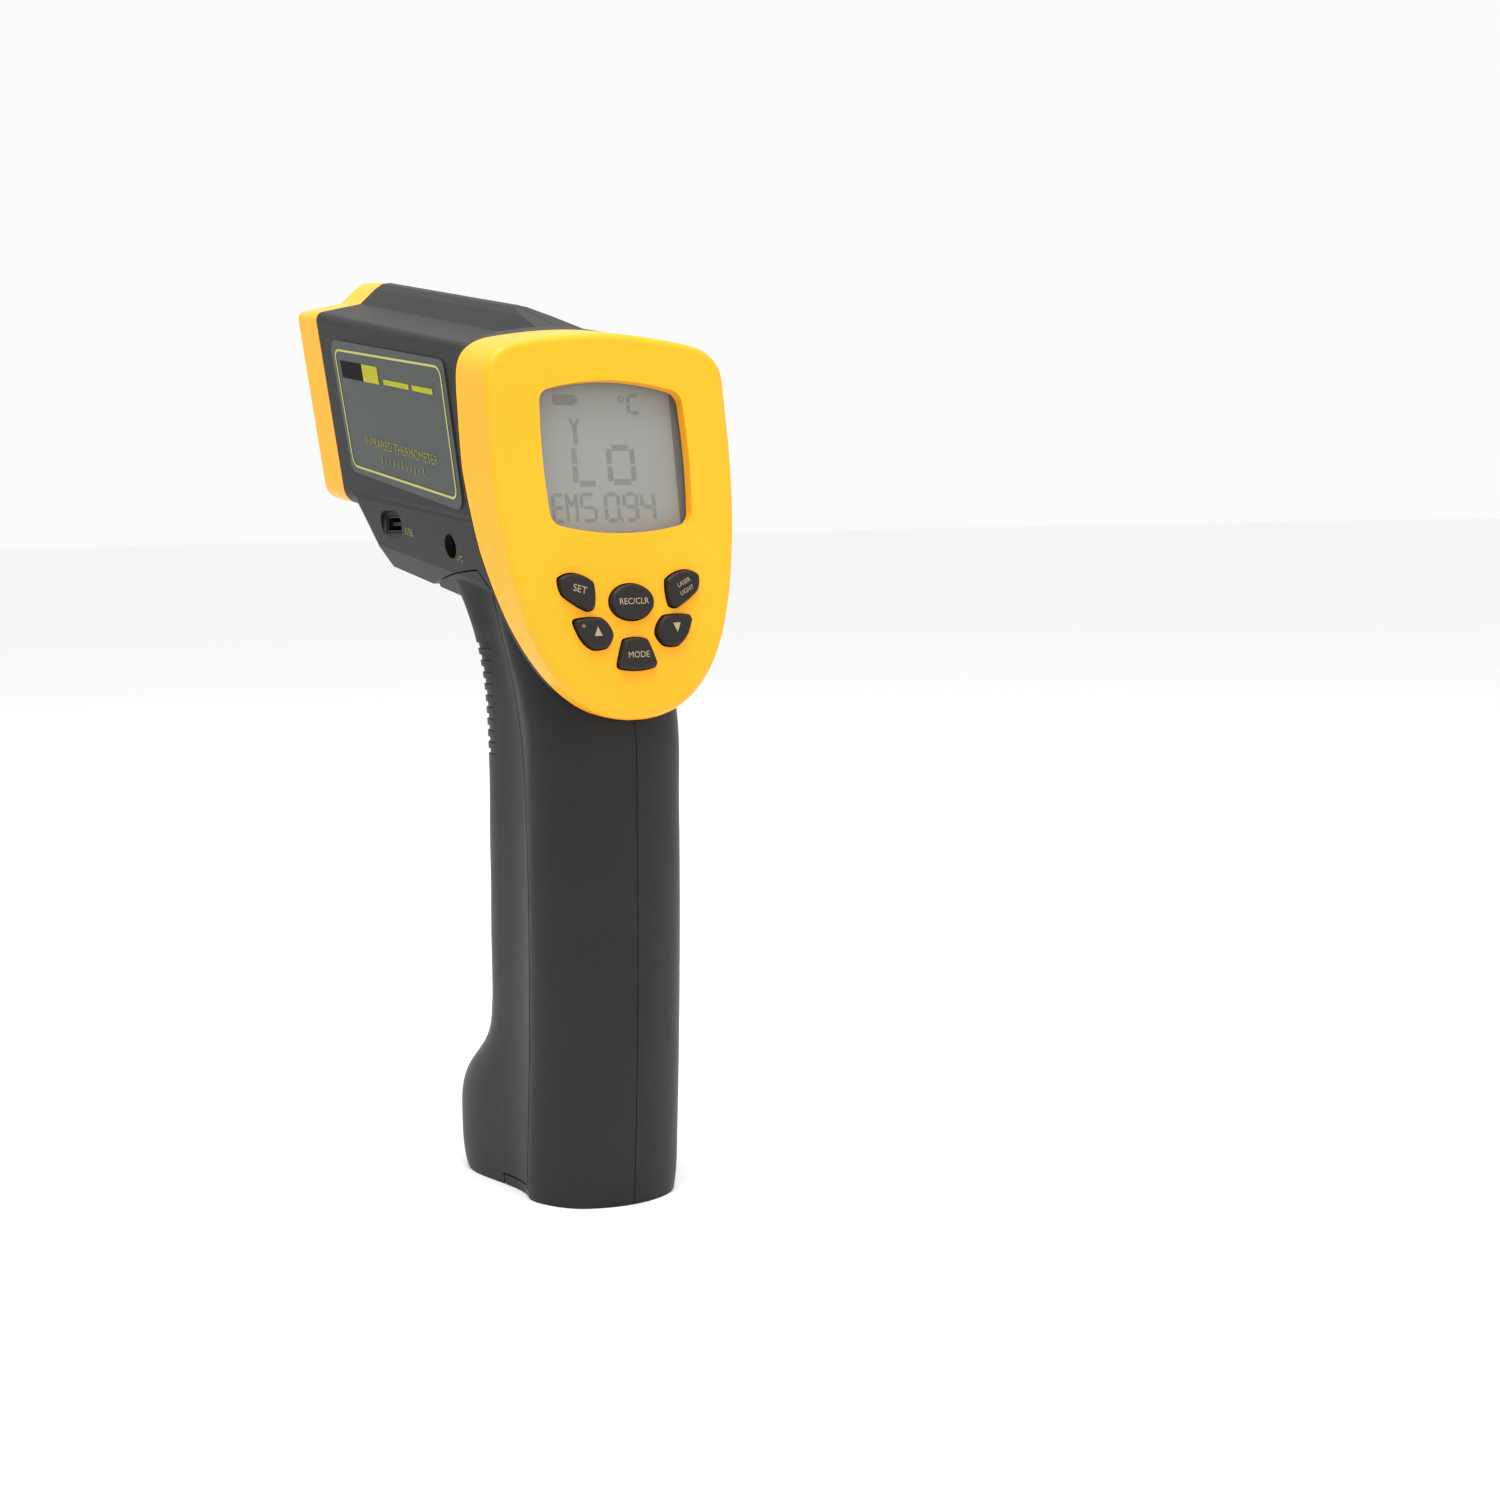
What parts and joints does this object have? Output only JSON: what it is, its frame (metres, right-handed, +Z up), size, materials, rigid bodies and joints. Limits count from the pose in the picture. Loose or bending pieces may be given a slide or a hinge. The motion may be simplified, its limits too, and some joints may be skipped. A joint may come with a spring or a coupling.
{
  "type": "infrared thermometer",
  "caption": "Pistol-grip infrared thermometer with a rear display and keypad, a trigger, a sighting nose and a battery door in the grip.",
  "frame": {"origin": "on the base face that the grip stands on, under the middle of the instrument's length", "axes": "+X out of the nose, +Y to the left of the person holding it, +Z up"},
  "size_m": [0.1237, 0.0598, 0.2092],
  "materials": {
    "grey_plastic": "fine-textured dark grey moulding",
    "yellow_plastic": "smooth yellow-orange moulding",
    "black_plastic": "plain black moulding",
    "key_rubber": "satin silicone rubber",
    "lens_silicon": "polished infrared window",
    "sensor_can": "plated can",
    "brass": "machined brass",
    "steel": "plated steel",
    "circuit_board": "green solder mask",
    "clear_pane": "clear acrylic",
    "display_glass": "grey-green liquid crystal glass",
    "battery_case": "painted steel can",
    "label_film": "printed film"
  },
  "bodies": {
    "root": {"left_shell": "grey_plastic", "right_shell": "grey_plastic", "rear_bezel": "yellow_plastic", "nose_ring": "yellow_plastic", "front_plate": "black_plastic", "lens_tube": "black_plastic", "infrared_lens": "lens_silicon", "infrared_sensor": "sensor_can", "laser_module": "brass", "sensor_board": "circuit_board", "main_board": "circuit_board", "display_window": "clear_pane", "display_module": "display_glass", "display_board": "circuit_board", "buzzer": "black_plastic", "keypad_board": "circuit_board", "trigger_pin": "steel", "trigger_cradle": "black_plastic", "trigger_spring": "steel", "trigger_switch": "black_plastic", "door_hinge_pin": "steel", "door_hinge_block": "grey_plastic", "battery_tray": "black_plastic", "battery": "battery_case", "battery_snap": "black_plastic", "usb_socket": "steel", "power_socket": "black_plastic", "socket_board": "circuit_board", "tripod_bush": "brass", "strap_bar": "steel", "strap_cup": "grey_plastic", "case_screws": "steel", "label_left": "label_film", "label_right": "label_film"},
    "trigger_body": {"trigger": "yellow_plastic"},
    "door_body": {"battery_door": "grey_plastic"},
    "plug_body": {"tripod_plug": "key_rubber"},
    "set_key_body": {"key_set": "key_rubber"},
    "laser_key_body": {"key_laser": "key_rubber"},
    "record_key_body": {"key_record": "key_rubber"},
    "up_key_body": {"key_up": "key_rubber"},
    "down_key_body": {"key_down": "key_rubber"},
    "mode_key_body": {"key_mode": "key_rubber"}
  },
  "joints": [
    {"name": "trigger_pull", "type": "hinge", "parent": "root", "child": "trigger_body", "pos_m": [-0.0204, 0, 0.1305], "axis": [0, 1, 0], "range_deg": [0, 8], "stiffness_Nm_per_rad": 0.15, "springref_deg": -17.19},
    {"name": "battery_door_hinge", "type": "hinge", "parent": "root", "child": "door_body", "pos_m": [-0.025, 0, 0.0017], "axis": [0, 1, 0], "range_deg": [0, 70]},
    {"name": "tripod_plug_pull", "type": "slide", "parent": "root", "child": "plug_body", "axis": [0.18, 0, -0.9837], "range_m": [0, 0.012]},
    {"name": "set_key_press", "type": "slide", "parent": "root", "child": "set_key_body", "axis": [0.989, 0, -0.1478], "range_m": [0, 0.0008], "stiffness_N_per_m": 250, "springref_m": -0.0006},
    {"name": "laser_key_press", "type": "slide", "parent": "root", "child": "laser_key_body", "axis": [0.989, 0, -0.1478], "range_m": [0, 0.0008], "stiffness_N_per_m": 250, "springref_m": -0.0006},
    {"name": "record_key_press", "type": "slide", "parent": "root", "child": "record_key_body", "axis": [0.989, 0, -0.1478], "range_m": [0, 0.0008], "stiffness_N_per_m": 250, "springref_m": -0.0006},
    {"name": "up_key_press", "type": "slide", "parent": "root", "child": "up_key_body", "axis": [0.989, 0, -0.1478], "range_m": [0, 0.0008], "stiffness_N_per_m": 250, "springref_m": -0.0006},
    {"name": "down_key_press", "type": "slide", "parent": "root", "child": "down_key_body", "axis": [0.989, 0, -0.1478], "range_m": [0, 0.0008], "stiffness_N_per_m": 250, "springref_m": -0.0006},
    {"name": "mode_key_press", "type": "slide", "parent": "root", "child": "mode_key_body", "axis": [0.989, 0, -0.1478], "range_m": [0, 0.0008], "stiffness_N_per_m": 250, "springref_m": -0.0006}
  ]
}
